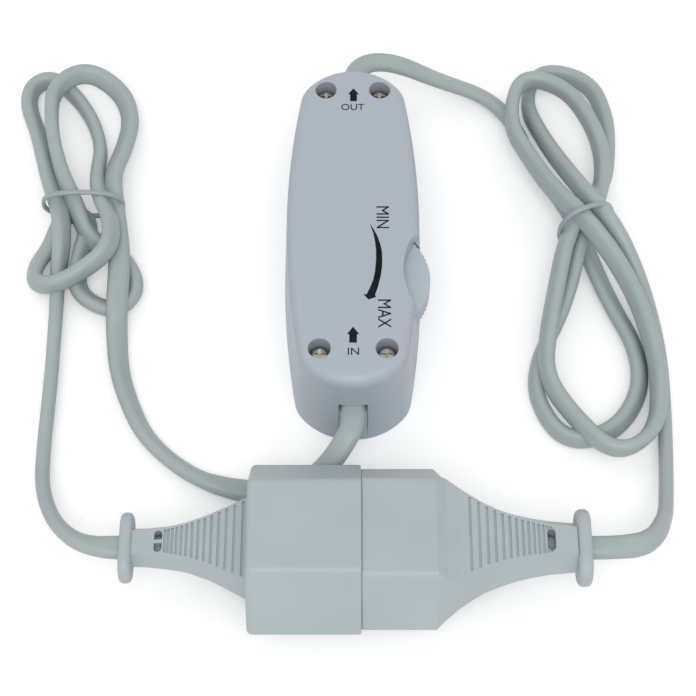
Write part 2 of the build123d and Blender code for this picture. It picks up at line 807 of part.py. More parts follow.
def wire_funnel(cord_x, room_x, room_width):
    """Space in which the two conductors spread from the cord's end to the terminals' room."""
    with BuildPart() as funnel:
        for x, width in sorted(((cord_x, cord_width), (room_x, room_width))):
            with BuildSketch(section_plane(x)):
                Rectangle(width, cord_thickness)
        loft()
    return funnel.part


plug_face_x = mate_x
plug_back_x = plug_face_x - plug_block_length
plug_neck_end_x = plug_back_x - neck_to_flange
plug_flange_x = plug_neck_end_x - plug_flange[2]
socket_shoulder_x = mate_x + socket_body_length
socket_neck_end_x = 45.4
plug_neck = [
    (plug_back_x, 11.4, 9.1, 5.2),
    (plug_back_x - 4.6, 8.8, 7.0, 4.7),
    (plug_back_x - 8.4, 6.8, 5.3, 4.4),
    (plug_back_x - 12.6, 5.4, 3.9, 4.0),
    (plug_back_x - 16.8, 4.7, 3.0, 3.6),
    (plug_back_x - 20.6, 4.3, 2.7, 3.3),
    (plug_neck_end_x, 4.2, 2.6, 3.1)]
socket_neck = [
    (socket_shoulder_x + shoulder_length, 15.6, 11.0, 9.8),
    (socket_shoulder_x + 4.4, 13.5, 9.8, 8.4),
    (socket_shoulder_x + 6.9, 11.7, 8.5, 7.5),
    (socket_shoulder_x + 9.8, 9.9, 7.0, 6.7),
    (socket_shoulder_x + 13.2, 8.5, 5.6, 6.0),
    (socket_shoulder_x + 16.6, 7.3, 4.6, 5.5),
    (socket_shoulder_x + 20.0, 6.5, 3.9, 5.0),
    (socket_shoulder_x + 23.4, 5.9, 3.3, 4.5),
    (socket_neck_end_x, 5.4, 2.9, 4.1)]
plug_core_back_x = plug_face_x - pin_shank
plug_cord_end_x = plug_core_back_x - 21.0
socket_core_end_x = mate_x + socket_core_length
contact_end_x = socket_core_end_x + seat_gap
plate_room_end_x = contact_end_x + plate_room_length
socket_room_end_x = plate_room_end_x + socket_room_length
socket_cord_end_x = socket_room_end_x + 16.0
plug_ribbed = [(plug_back_x - 1.0, 8.7, 5.1), *[(s[0], s[2], s[3]) for s in plug_neck[1:5]]]
socket_ribbed = [(s[0], s[2], s[3]) for s in socket_neck[2:8]]
pin_sides = (-pin_spread / 2, pin_spread / 2)

with BuildPart() as plug_body:
    with BuildSketch(section_plane(plug_back_x)):
        add(hexagon(plug_half_width, plug_half_flat, plug_half_height, block_corner))
    extrude(amount=plug_block_length)
    fillet(plug_body.edges().group_by(Axis.X)[0], block_back_edge)
    fillet(plug_body.edges().group_by(Axis.X)[-1], face_edge)
    add(moulded_neck(plug_neck))
    add(grip_grooves(plug_ribbed), mode=Mode.SUBTRACT)
    add(flange(plug_flange_x, plug_flange))
    add(cord_slot(plug_flange_x, plug_cord_end_x, fit), mode=Mode.SUBTRACT)
    with BuildSketch(section_plane(plug_core_back_x - fit)):
        add(hexagon(plug_core_half_width + fit, plug_half_flat, plug_core_half_height + fit, neck_corner))
    extrude(amount=pin_shank + fit, mode=Mode.SUBTRACT)
    plug_room_x = plug_core_back_x - pin_collar_thickness - crimp_length - 2.4
    with BuildSketch(section_plane(plug_room_x)):
        Rectangle(pin_spread + pin_collar + 0.6, pin_collar + 0.6)
    extrude(amount=plug_core_back_x - plug_room_x, mode=Mode.SUBTRACT)
    add(wire_funnel(plug_cord_end_x, plug_room_x, pin_spread + 2 * wire_diameter), mode=Mode.SUBTRACT)
    eye_x = plug_neck_end_x + 5.4
    with BuildSketch(Plane(origin=(eye_x, connector_y, connector_z), z_dir=(0, 0, 1))):
        SlotOverall(eye_length, eye_width, rotation=90)
        Rectangle(eye_width + 1.0, eye_bridge, mode=Mode.SUBTRACT)
    extrude(amount=plug_half_height, mode=Mode.SUBTRACT)
save(plug_body.part, "plug_body")

with BuildPart() as plug_core:
    with BuildSketch(section_plane(plug_core_back_x)):
        add(hexagon(plug_core_half_width, plug_half_flat, plug_core_half_height, neck_corner))
        with Locations((pin_sides[0], 0), (pin_sides[1], 0)):
            Circle(pin_diameter / 2 + seat_gap, mode=Mode.SUBTRACT)
    extrude(amount=pin_shank)
save(plug_core.part, "plug_core")

with BuildPart() as plug_pins:
    with BuildSketch(section_plane(plug_core_back_x - pin_collar_thickness)):
        with Locations((pin_sides[0], 0), (pin_sides[1], 0)):
            Circle(pin_collar / 2)
    extrude(amount=pin_collar_thickness)
    with BuildSketch(section_plane(plug_core_back_x)):
        with Locations((pin_sides[0], 0), (pin_sides[1], 0)):
            Circle(pin_diameter / 2)
    extrude(amount=pin_shank + pin_length)
    fillet(plug_pins.edges().group_by(Axis.X)[-1], pin_diameter * 0.4)
    with BuildSketch(section_plane(plug_core_back_x - pin_collar_thickness - crimp_length)):
        with Locations((pin_sides[0], 0), (pin_sides[1], 0)):
            Circle(crimp_diameter / 2)
            Circle(wire_diameter / 2 + seat_gap, mode=Mode.SUBTRACT)
    extrude(amount=crimp_length)
save(plug_pins.part, "plug_pins")

crimp_mouth_x = plug_core_back_x - pin_collar_thickness - crimp_length
plug_wires = []
for side in (-1, 1):
    plug_wires.append(tube([
        (plug_cord_end_x, connector_y + side * wire_spacing / 2, connector_z),
        (plug_cord_end_x + 2.4, connector_y + side * wire_spacing / 2, connector_z),
        (crimp_mouth_x - 1.6, connector_y + side * pin_spread / 2, connector_z),
        (crimp_mouth_x + crimp_length - 1.0, connector_y + side * pin_spread / 2, connector_z)],
        wire_diameter, "plug conductor"))
save(join_all(plug_wires), "plug_conductors")

# Socket: body, core, two contacts and its conductors
bore_radius = pin_diameter / 2 + fit
contact_radius = bore_radius + contact_wall
with BuildPart() as socket_body:
    with BuildSketch(section_plane(mate_x)):
        add(hexagon(socket_half_width, socket_half_flat, socket_half_height, block_corner))
    extrude(amount=socket_body_length)
    fillet(socket_body.edges().group_by(Axis.X)[0], face_edge)
    with BuildSketch(section_plane(socket_shoulder_x)):
        add(hexagon(socket_half_width, socket_half_flat, socket_half_height, block_corner))
    with BuildSketch(section_plane(socket_neck[0][0])):
        add(hexagon(*socket_neck[0][1:], neck_corner))
    loft(ruled=True)
    add(moulded_neck(socket_neck))
    add(grip_grooves(socket_ribbed), mode=Mode.SUBTRACT)
    add(flange(socket_neck_end_x, socket_flange))
    add(cord_slot(socket_cord_end_x, socket_neck_end_x + socket_flange[2], fit), mode=Mode.SUBTRACT)
    with BuildSketch(section_plane(mate_x)):
        add(hexagon(socket_core_half_width + fit, socket_half_flat, socket_core_half_height + fit, neck_corner))
    extrude(amount=socket_core_end_x - mate_x + fit, mode=Mode.SUBTRACT)
    for room_x, room_end_x, room_radius in (
            (socket_core_end_x, plate_room_end_x, contact_radius + fit),
            (plate_room_end_x - seat_gap, socket_room_end_x, socket_room_radius)):
        with BuildSketch(section_plane(room_x)):
            Rectangle(pin_spread, socket_room_height)
            with Locations((pin_sides[0], 0), (pin_sides[1], 0)):
                Circle(room_radius)
        extrude(amount=room_end_x - room_x, mode=Mode.SUBTRACT)
    funnel_width = 2 * (contact_tail_from_axis + wire_diameter / 2 + 0.4 + fit)
    add(wire_funnel(socket_cord_end_x, socket_room_end_x, funnel_width), mode=Mode.SUBTRACT)
    eye_x = socket_neck_end_x - 5.3
    with BuildSketch(Plane(origin=(eye_x, connector_y, connector_z), z_dir=(0, 0, 1))):
        SlotOverall(eye_length, eye_width, rotation=90)
    extrude(amount=plug_half_height, mode=Mode.SUBTRACT)
save(socket_body.part, "socket_body")

with BuildPart() as socket_core:
    with BuildSketch(section_plane(mate_x)):
        add(hexagon(socket_core_half_width, socket_half_flat, socket_core_half_height, neck_corner))
        with Locations((pin_sides[0], 0), (pin_sides[1], 0)):
            Circle(bore_radius, mode=Mode.SUBTRACT)
    extrude(amount=socket_core_end_x - mate_x)
    with BuildSketch(section_plane(mate_x + socket_entry)):
        with Locations((pin_sides[0], 0), (pin_sides[1], 0)):
            Circle(contact_radius + seat_gap)
    extrude(amount=socket_core_end_x - mate_x, mode=Mode.SUBTRACT)
save(socket_core.part, "socket_core")

with BuildPart() as socket_contacts:
    with BuildSketch(section_plane(mate_x + socket_entry)):
        with Locations((pin_sides[0], 0), (pin_sides[1], 0)):
            Circle(contact_radius)
            Circle(bore_radius, mode=Mode.SUBTRACT)
    extrude(amount=contact_end_x - mate_x - socket_entry)
    strip_middle = (contact_tail_from_axis + pin_spread / 2) / 2
    strip_length = pin_spread / 2 - contact_tail_from_axis
    with BuildSketch(section_plane(contact_end_x)):
        with Locations((-strip_middle, 0), (strip_middle, 0)):
            Rectangle(strip_length, contact_strip_width)
        with Locations((-contact_tail_from_axis, 0), (contact_tail_from_axis, 0)):
            Circle(wire_diameter / 2 + 0.4)
        with Locations((pin_sides[0], 0), (pin_sides[1], 0)):
            Circle(contact_radius)
            Circle(bore_radius, mode=Mode.SUBTRACT)
    extrude(amount=contact_wall)
    with BuildSketch(section_plane(contact_end_x + contact_wall)):
        with Locations((-contact_tail_from_axis, 0), (contact_tail_from_axis, 0)):
            Circle(wire_diameter / 2 + 0.4)
            Circle(wire_diameter / 2 + seat_gap, mode=Mode.SUBTRACT)
    extrude(amount=contact_tail_length)
save(socket_contacts.part, "socket_contacts")

socket_wires = []
for side in (-1, 1):
    tail_y = connector_y + side * contact_tail_from_axis
    socket_wires.append(tube([
        (socket_cord_end_x, connector_y + side * wire_spacing / 2, connector_z),
        (socket_cord_end_x - 2.4, connector_y + side * wire_spacing / 2, connector_z),
        (contact_end_x + contact_wall + contact_tail_length + 0.4, tail_y, connector_z),
        (contact_end_x + contact_wall + 0.6, tail_y, connector_z)],
        wire_diameter, "socket conductor"))
save(join_all(socket_wires), "socket_conductors")


# Flat ends of the cord, held in the casing and in the connectors
def flat_end(plane, length):
    """Straight piece of the flat cord from plane on, its flat sides up and down."""
    with BuildPart() as piece:
        with BuildSketch(plane):
            SlotOverall(cord_width, cord_thickness)
        extrude(amount=length)
    return piece.part


stub = 1.0
in_exit_y = -case_length / 2 - stub
out_exit_y = case_length / 2 + stub
plug_exit_x = plug_flange_x - stub
socket_exit_x = socket_neck_end_x + socket_flange[2] + stub
in_plane = Plane(origin=(0, in_exit_y, cord_exit_z), x_dir=(-1, 0, 0), z_dir=(0, 1, 0))
out_plane = Plane(origin=(0, out_exit_y, cord_exit_z), x_dir=(1, 0, 0), z_dir=(0, -1, 0))
save(flat_end(in_plane, in_end_y - in_exit_y), "in_cord_case_end")
save(flat_end(out_plane, out_exit_y - out_end_y), "out_cord_case_end")
save(flat_end(section_plane(plug_exit_x), plug_cord_end_x - plug_exit_x), "in_cord_plug_end")
save(flat_end(section_plane(socket_cord_end_x), socket_exit_x - socket_cord_end_x), "out_cord_socket_end")

# Heights of the cord where it lies on the floor and where it crosses itself
floor_z = cord_tube / 2 + 0.05
layer = cord_tube + 0.5
second_z = floor_z + layer


# Hanks: stations with headings, joined by pairs of tangent arcs
def station(x, y, z, heading, climb=0.0):
    """A point of a hank and its direction: heading in degrees from +X, climb as a slope."""
    angle = math.radians(heading)
    return Vector(x, y, z), Vector(math.cos(angle), math.sin(angle), climb).normalized()


def lobe(left, end, right, heights, upward, forward):
    """Three stations a quarter turn apart: the two widest places of a lobe and its end.

    left and right are the widest places, end the far point, heights one z for each in the order
    travelled. upward says that the lobe lies on the +Y side of the tie, forward that it is
    travelled from left to right.
    """
    side = 90 if upward else -90
    places = [(left, side), (end, 0), (right, -side)]
    if not forward:
        places = [(right, side), (end, 180), (left, -side)]
    climbs = [0.0, (heights[2] - heights[0]) / 2 / (right[0] - left[0]), 0.0]
    return [station(p[0], p[1], z, h, c) for (p, h), z, c in zip(places, heights, climbs)]


def biarc(start, finish):
    """Where two tangent arcs from one station to the next meet, and the direction there."""
    p0, t0 = start
    p1, t1 = finish
    chord = p1 - p0
    along = chord.dot(t0 + t1)
    spread = 2 * (1 - t0.dot(t1))
    reach = chord.dot(chord)
    if spread < 1e-6:
        handle = reach / (2 * along)
    else:
        handle = (-along + math.sqrt(along * along + spread * reach)) / spread
    first = p0 + t0 * handle
    second = p1 - t1 * handle
    return (first + second) / 2, (second - first).normalized()


def hank(stations, diameter, name):
    """One unbroken tube through the stations, with its tightest arc and least gap printed."""
    joints = []
    for start, finish in zip(stations, stations[1:]):
        joints.append(start)
        joints.append(biarc(start, finish))
    joints.append(stations[-1])
    with BuildPart() as part:
        with BuildLine() as path:
            for (p0, t0), (p1, _) in zip(joints, joints[1:]):
                bend = t0.cross((p1 - p0).normalized()).length
                if bend < 1e-4:
                    Line(p0, p1)
                else:
                    TangentArc(p0, p1, tangent=t0)
        route = path.wires()[0]
        with BuildSketch(Plane(origin=stations[0][0], z_dir=stations[0][1])):
            Circle(diameter / 2)
        sweep(path=route)
    radii = [edge.radius for edge in route.edges() if edge.geom_type == GeomType.CIRCLE]
    section = math.pi * diameter ** 2 / 4
    print(name, "length", round(route.length, 1), "tightest radius", round(min(radii), 2))
    print(name, "volume over section times length", round(part.part.volume / (section * route.length), 4))
    report_gap(route, diameter, name)
    return part.part


def report_gap(route, diameter, name):
    """Print the tube's least gap to itself, measured between points along its route."""
    step = 0.7
    count = int(route.length / step)
    points = [route.position_at(i / count) for i in range(count + 1)]
    apart = int(1.6 * diameter / step) + 1
    least = 1e9
    place = None
    for i, p in enumerate(points):
        for j in range(i + apart, len(points)):
            q = points[j]
            gap = math.dist((p.X, p.Y, p.Z), (q.X, q.Y, q.Z))
            if gap < least:
                least = gap
                place = (i * step, j * step, p, q)
    print(name, "least gap to itself", round(least - diameter, 2), "at", place)


# Left hank, on the cord that leads in: two upper loops and one lower loop of two turns
in_tie_y = 15.5
in_tie_x = -61.8
in_pitch = cord_tube + 0.55
in_waist = [in_tie_x + in_pitch * k for k in (-1.5, -0.5, 0.5, 1.5)]
in_hank_start = station(-67.3, -18.0, floor_z, 90)
in_hank_end = station(-52.3, -28.0, floor_z, -87)
in_stations = [
    in_hank_start,
    station(-67.2, -5.0, floor_z, 94, 0.08),
    station(-68.0, 5.4, second_z + 0.5, 94, 0.06),
    station(in_waist[0] - 0.2, in_tie_y, second_z - 1.4, 107, -0.1)]
in_stations += lobe((-77.3, 46.5), (-73.6, 53.3), (-60.4, 34.0), (floor_z, floor_z, floor_z), True, True)
in_stations += [station(in_waist[2], in_tie_y, second_z, -84, 0.2)]
in_stations += lobe(
    (-73.2, -2.0), (-63.0, -5.7), (-57.1, 4.0), (second_z + 1.5, second_z + 0.8, second_z - 1.9), False, False)
in_stations += [station(-66.6, 6.6, floor_z, -18)]
in_stations += lobe((-62.2, -1.0), (-56.0, -11.3), (-49.2, -3.8), (floor_z, floor_z, floor_z), False, True)
in_stations += [
    station(-56.4, 6.2, floor_z, 134),
    station(in_waist[1], in_tie_y, second_z - 2.0, 105, 0.2)]
in_stations += lobe(
    (-71.6, 42.0), (-64.2, 52.6), (-53.4, 38.0), (second_z + 0.4, second_z + 0.4, second_z + 0.4), True, True)
in_stations += [
    station(in_waist[3] + 0.2, in_tie_y, second_z + 0.6, -76),
    station(-52.3, 2.0, second_z + 0.8, -90),
    station(-52.5, -12.5, second_z + 0.4, -91, -0.12),
    in_hank_end]
save(hank(in_stations, cord_tube, "in hank"), "in_cord_hank")

# Right hank, on the cord that leads out: a figure of eight of two lower and two upper loops
out_tie = (52.6, 9.0)
out_pitch = cord_tube + 0.6
out_down = -60.0
out_up = 78.0
tie_first_z = floor_z + tie_thickness + 2 * seat_gap
tie_second_z = tie_first_z + layer
tie_third_z = tie_second_z + layer + 0.4
out_hank_start = station(34.0, 46.6, floor_z + 0.3, -28, -0.1)
out_hank_end = station(69.2, -26.0, floor_z + 0.4, -88, -0.02)
out_stations = [
    out_hank_start,
    station(38.8, 34.0, floor_z, -70),
    station(out_tie[0], out_tie[1], tie_first_z, out_down - 4)]
out_stations += lobe((40.0, -33.0), (51.5, -43.8), (63.6, -27.0), (floor_z, floor_z, floor_z), False, False)
out_stations += [
    station(45.4, -12.0, floor_z, 76, 0.02),
    station(out_tie[0] - out_pitch * 0.56, out_tie[1] + 0.6, tie_second_z, out_up, 0.05)]
out_stations += lobe(
    (37.6, 38.0), (46.0, 51.9), (57.0, 30.0), (second_z + 2.0, second_z + 2.4, second_z + 2.8), True, False)
out_stations += [station(out_tie[0] - out_pitch * 0.62, out_tie[1], tie_third_z + 0.1, out_down)]
out_stations += lobe(
    (42.6, -24.0), (56.5, -47.8), (66.4, -29.0), (second_z + 2.4, second_z + 0.6, second_z + 1.8), False, False)
out_stations += [station(out_tie[0] + out_pitch * 0.56, out_tie[1] - 0.6, tie_second_z, out_up, -0.05)]
out_stations += lobe(
    (42.2, 41.0), (49.8, 56.0), (61.4, 36.0), (floor_z, floor_z + 0.2, floor_z + 1.6), True, False)
out_stations += [
    station(48.6, 20.6, tie_third_z, -57, 0.02),
    station(out_tie[0] + out_pitch * 0.66, out_tie[1], tie_third_z, out_down),
    station(67.0, -9.0, second_z + 0.4, -74, -0.3),
    out_hank_end]
save(hank(out_stations, cord_tube, "out hank"), "out_cord_hank")

# Free stretches of the cord, each from a held end to a hank
in_lead_route = [
    (0.0, in_exit_y, cord_exit_z),
    (0.0, in_exit_y - 5.2, cord_exit_z),
    (-1.6, -51.4, 8.4),
    (-4.8, -53.4, 3.6),
    (-11.5, -54.8, 2.15),
    (-20.5, -55.8, 2.1),
    (-30.0, -54.4, 2.15),
    (-39.5, -49.6, 2.1),
    (-47.5, -42.6, 2.15),
    (-51.8, -35.0, 2.1),
    tuple(in_hank_end[0])]
save(tube(in_lead_route, cord_tube, "in lead"), "in_cord_lead")

in_plug_route = [
    (plug_exit_x, connector_y, connector_z),
    (plug_exit_x - 5.4, connector_y, connector_z),
    (-60.2, -70.0, 10.6),
    (-64.8, -63.0, 7.0),
    (-67.4, -54.6, 3.8),
    (-68.4, -45.0, 2.2),
    (-68.0, -35.5, 2.15),
    (-67.3, -26.6, 2.1),
    tuple(in_hank_start[0])]
save(tube(in_plug_route, cord_tube, "plug lead"), "in_cord_plug_lead")

out_lead_route = [
    (0.0, out_exit_y, cord_exit_z),
    (0.0, out_exit_y + 5.0, cord_exit_z),
    (4.0, 52.8, 12.6),
    (11.5, 54.0, 10.6),
    (20.0, 52.4, 6.9),
    (28.2, 49.7, 3.0),
    tuple(out_hank_start[0])]
save(tube(out_lead_route, cord_tube, "out lead"), "out_cord_lead")

out_socket_route = [
    tuple(out_hank_end[0]),
    (69.5, -35.5, 2.3),
    (69.4, -45.5, 2.2),
    (67.9, -55.0, 3.8),
    (65.0, -63.0, 7.0),
    (60.6, -70.0, 10.6),
    (socket_exit_x + 5.4, connector_y, connector_z),
    (socket_exit_x, connector_y, connector_z)]
save(tube(out_socket_route, cord_tube, "socket lead"), "out_cord_socket_lead")


# Ties round the hanks' waists
def tie(middle, heading, width, height, rotation, name):
    """Flat closed band, square to heading, whose inside is a slot of width and height."""
    angle = math.radians(heading)
    along = (math.cos(angle), math.sin(angle), 0)
    sideways = (math.sin(angle), -math.cos(angle), 0)
    with BuildPart() as band:
        with BuildSketch(Plane(origin=middle, x_dir=sideways, z_dir=along)):
            SlotOverall(width + 2 * tie_thickness, height + 2 * tie_thickness, rotation=rotation)
            SlotOverall(width, height, rotation=rotation, mode=Mode.SUBTRACT)
        extrude(amount=tie_width / 2, both=True)
    save(band.part, name)


in_tie_middle = (in_tie_x, in_tie_y, second_z - 0.3)
tie(in_tie_middle, 90, in_tie_inside[0], in_tie_inside[1], 0, "in_hank_tie")
out_tie_middle = (out_tie[0], out_tie[1], floor_z - cord_tube / 2 + tie_thickness + out_tie_inside[1] / 2)
tie(out_tie_middle, 110, out_tie_inside[1], out_tie_inside[0], 90, "out_hank_tie")
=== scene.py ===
"""Looks of the in-line dimmer, its two cords and its mated connectors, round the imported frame."""
import math

import bpy
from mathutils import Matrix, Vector


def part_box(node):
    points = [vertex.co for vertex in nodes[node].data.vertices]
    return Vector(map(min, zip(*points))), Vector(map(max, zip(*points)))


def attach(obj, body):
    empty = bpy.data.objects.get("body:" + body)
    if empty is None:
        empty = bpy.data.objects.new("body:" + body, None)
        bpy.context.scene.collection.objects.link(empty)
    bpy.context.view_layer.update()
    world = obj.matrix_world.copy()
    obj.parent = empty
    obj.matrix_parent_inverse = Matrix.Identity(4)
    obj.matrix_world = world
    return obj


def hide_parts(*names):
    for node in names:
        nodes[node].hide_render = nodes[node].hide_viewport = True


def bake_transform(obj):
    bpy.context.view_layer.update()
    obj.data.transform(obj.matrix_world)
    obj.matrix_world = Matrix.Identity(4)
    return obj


MM = 0.001
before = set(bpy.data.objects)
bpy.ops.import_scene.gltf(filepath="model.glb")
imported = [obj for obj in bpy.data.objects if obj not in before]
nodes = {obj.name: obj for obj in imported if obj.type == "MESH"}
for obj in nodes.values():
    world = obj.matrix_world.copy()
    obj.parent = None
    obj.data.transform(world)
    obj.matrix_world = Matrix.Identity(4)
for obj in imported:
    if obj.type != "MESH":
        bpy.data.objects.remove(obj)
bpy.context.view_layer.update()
scene = bpy.context.scene


def mm(point):
    """A point given in millimetres, in metres."""
    return Vector([c * MM for c in point])


# Camera: a perspective view from above the surface, in degrees and millimetres, with its clips in metres
ELEVATION = 61.0
DISTANCE = 400.0
AIM = (-1.1, -19.0, 0.0)
FOCAL_PIXELS = 1780.0
IMAGE_PIXELS = 696
SENSOR = 36.0
CLIP_NEAR = 0.01
CLIP_FAR = 20
camera = bpy.data.objects.new("camera", bpy.data.cameras.new("camera"))
scene.collection.objects.link(camera)
camera.data.sensor_width = SENSOR
camera.data.lens = SENSOR * FOCAL_PIXELS / IMAGE_PIXELS
tilt = math.radians(ELEVATION)
camera.location = mm((AIM[0], AIM[1] - DISTANCE * math.cos(tilt), AIM[2] + DISTANCE * math.sin(tilt)))
camera.rotation_euler = (math.pi / 2 - tilt, 0, 0)
camera.data.clip_start = CLIP_NEAR
camera.data.clip_end = CLIP_FAR
scene.camera = camera
scene.view_settings.view_transform = "Standard"


# Materials. Noise is in features per metre, and depths of grain are in metres
NOISE_LOW = 0.3
NOISE_HIGH = 0.7
CLOUD_SCALE = 60
GLOSS_SCALE = 350
STAIN_SCALE = 900
STAIN_LOW = 0.45
STAIN_HIGH = 0.75
STAIN_SHARE = 0.6
POLISH_SCALE = 1500
SCRATCH_SCALE = 2500
SCRATCH_STRETCH = (1, 6, 1)
SCRATCH_DEPTH = 0.00002
GLASS_SCALE = 400
GLASS_DEPTH = 0.00001
GLASS_ROUGHNESS = 0.05

# Colour sockets of the Mix node, which has others of the same names
MIX_FIRST = 6
MIX_SECOND = 7
MIX_RESULT = 2


def shader(name, color, roughness, specular=0.5, metallic=0.0):
    """New material with a Principled shader; returns it, its tree and the shader node."""
    material = bpy.data.materials.new(name)
    material.use_nodes = True
    tree = material.node_tree
    surface = tree.nodes["Principled BSDF"]
    surface.inputs["Base Color"].default_value = (*color, 1)
    surface.inputs["Roughness"].default_value = roughness
    surface.inputs["Specular IOR Level"].default_value = specular
    surface.inputs["Metallic"].default_value = metallic
    return material, tree, surface


def noise(tree, scale, detail, stretch=(1, 1, 1)):
    """Noise in object coordinates, in features per metre."""
    place = tree.nodes.new("ShaderNodeTexCoord")
    size = tree.nodes.new("ShaderNodeMapping")
    size.inputs["Scale"].default_value = stretch
    texture = tree.nodes.new("ShaderNodeTexNoise")
    texture.inputs["Scale"].default_value = scale
    texture.inputs["Detail"].default_value = detail
    tree.links.new(place.outputs["Object"], size.inputs["Vector"])
    tree.links.new(size.outputs["Vector"], texture.inputs["Vector"])
    return texture.outputs["Fac"]


def spread(tree, value, low, high, low_out, high_out):
    """Value taken from one range to another."""
    ramp = tree.nodes.new("ShaderNodeMapRange")
    ramp.inputs["From Min"].default_value = low
    ramp.inputs["From Max"].default_value = high
    ramp.inputs["To Min"].default_value = low_out
    ramp.inputs["To Max"].default_value = high_out
    tree.links.new(value, ramp.inputs["Value"])
    return ramp.outputs["Result"]


def blend_colors(tree, value, first, second):
    """Colour between two by value."""
    mix = tree.nodes.new("ShaderNodeMix")
    mix.data_type = "RGBA"
    tree.links.new(value, mix.inputs["Factor"])
    mix.inputs[MIX_FIRST].default_value = (*first, 1)
    mix.inputs[MIX_SECOND].default_value = (*second, 1)
    return mix.outputs[MIX_RESULT]


def bump(tree, surface, height, depth):
    """Bump from height, as deep as depth."""
    node = tree.nodes.new("ShaderNodeBump")
    node.inputs["Distance"].default_value = depth
    tree.links.new(height, node.inputs["Height"])
    tree.links.new(node.outputs["Normal"], surface.inputs["Normal"])


def moulded(name, color, roughness, grain, depth, tint=0.05, specular=0.5, wear=0.08):
    """Moulded plastic: even colour with faint clouding, fine mould grain and uneven gloss."""
    material, tree, surface = shader(name, color, roughness, specular)
    clouds = spread(tree, noise(tree, CLOUD_SCALE, 3), NOISE_LOW, NOISE_HIGH, 0, 1)
    darker = tuple(c * (1 - tint) for c in color)
    lighter = tuple(min(1, c * (1 + tint)) for c in color)
    tree.links.new(blend_colors(tree, clouds, darker, lighter), surface.inputs["Base Color"])
    patches = noise(tree, GLOSS_SCALE, 5)
    gloss = spread(tree, patches, NOISE_LOW, NOISE_HIGH, roughness - wear, roughness + wear)
    tree.links.new(gloss, surface.inputs["Roughness"])
    bump(tree, surface, noise(tree, grain, 2), depth)
    return material


def metal(name, color, roughness, stain=(0.35, 0.27, 0.16)):
    """Plated metal with fine scratches and duller patches."""
    material, tree, surface = shader(name, color, roughness, 0.5, 1.0)
    stains = spread(tree, noise(tree, STAIN_SCALE, 6), STAIN_LOW, STAIN_HIGH, 0, STAIN_SHARE)
    tree.links.new(blend_colors(tree, stains, color, stain), surface.inputs["Base Color"])
    polish = noise(tree, POLISH_SCALE, 4)
    gloss = spread(tree, polish, NOISE_LOW, NOISE_HIGH, roughness * 0.7, roughness * 1.5)
    tree.links.new(gloss, surface.inputs["Roughness"])
    bump(tree, surface, noise(tree, SCRATCH_SCALE, 3, SCRATCH_STRETCH), SCRATCH_DEPTH)
    return material


def clear(name, color, transmission):
    """Glass of a small part."""
    material, tree, surface = shader(name, color, GLASS_ROUGHNESS)
    surface.inputs["Transmission Weight"].default_value = transmission
    bump(tree, surface, noise(tree, GLASS_SCALE, 2), GLASS_DEPTH)
    return material


# Moulded ones: name, colour, roughness, grain, grain depth, tint, specular, wear of the gloss
case_white = moulded("case_white", (0.412, 0.465, 0.521), 0.33, 9000, 0.000012, 0.012, 0.5, 0.05)
base_white = moulded("base_white", (0.44, 0.495, 0.554), 0.5, 5000, 0.00003, 0.02)
dial_white = moulded("dial_white", (0.461, 0.52, 0.572), 0.36, 6000, 0.00002, 0.02)
vinyl = moulded("vinyl", (0.422, 0.481, 0.50), 0.40, 3200, 0.00003, 0.03, 0.45, 0.07)
cord_vinyl = moulded("cord_vinyl", (0.374, 0.434, 0.441), 0.36, 1500, 0.00004, 0.035, 0.45, 0.07)
tie_white = moulded("tie_white", (0.34, 0.39, 0.415), 0.42, 2500, 0.00002, 0.02)
insert_white = moulded("insert_white", (0.55, 0.58, 0.56), 0.5, 4000, 0.00002, 0.03)
ink = moulded("ink", (0.006, 0.009, 0.012), 0.6, 5000, 0.000005, 0.2, 0.12)
screw_brass = metal("screw_brass", (0.42, 0.41, 0.35), 0.16, stain=(0.11, 0.10, 0.07))
zinc = metal("zinc", (0.62, 0.62, 0.61), 0.35)
can_metal = metal("can_metal", (0.66, 0.66, 0.65), 0.32)
spring_brass = metal("spring_brass", (0.78, 0.62, 0.32), 0.28)
pin_nickel = metal("pin_nickel", (0.78, 0.76, 0.71), 0.18, stain=(0.55, 0.50, 0.42))
fuse_nickel = metal("fuse_nickel", (0.74, 0.74, 0.73), 0.2)
copper = metal("copper", (0.72, 0.30, 0.12), 0.3, stain=(0.5, 0.18, 0.06))
laminate = moulded("laminate", (0.42, 0.27, 0.11), 0.45, 2500, 0.00003, 0.15)
phenolic = moulded("phenolic", (0.16, 0.08, 0.04), 0.5, 2500, 0.00003, 0.2)
shaft_white = moulded("shaft_white", (0.72, 0.72, 0.68), 0.4, 3000, 0.00002, 0.03)
core_yellow = moulded("core_yellow", (0.50, 0.42, 0.08), 0.6, 2500, 0.00004, 0.12)
film_yellow = moulded("film_yellow", (0.62, 0.44, 0.08), 0.42, 3000, 0.00002, 0.06)
cap_red = moulded("cap_red", (0.34, 0.05, 0.025), 0.3, 1500, 0.00003, 0.12)
resistor_tan = moulded("resistor_tan", (0.55, 0.40, 0.22), 0.35, 2000, 0.00003, 0.1)
epoxy = moulded("epoxy", (0.02, 0.02, 0.022), 0.5, 4000, 0.00003, 0.2)
terminal_green = moulded("terminal_green", (0.05, 0.24, 0.10), 0.42, 3000, 0.00002, 0.08)
insulation = moulded("insulation", (0.20, 0.09, 0.04), 0.38, 2000, 0.00002, 0.08)
diac_blue = clear("diac_blue", (0.25, 0.35, 0.75), 0.6)
fuse_clear = clear("fuse_clear", (0.92, 0.95, 0.95), 0.95)

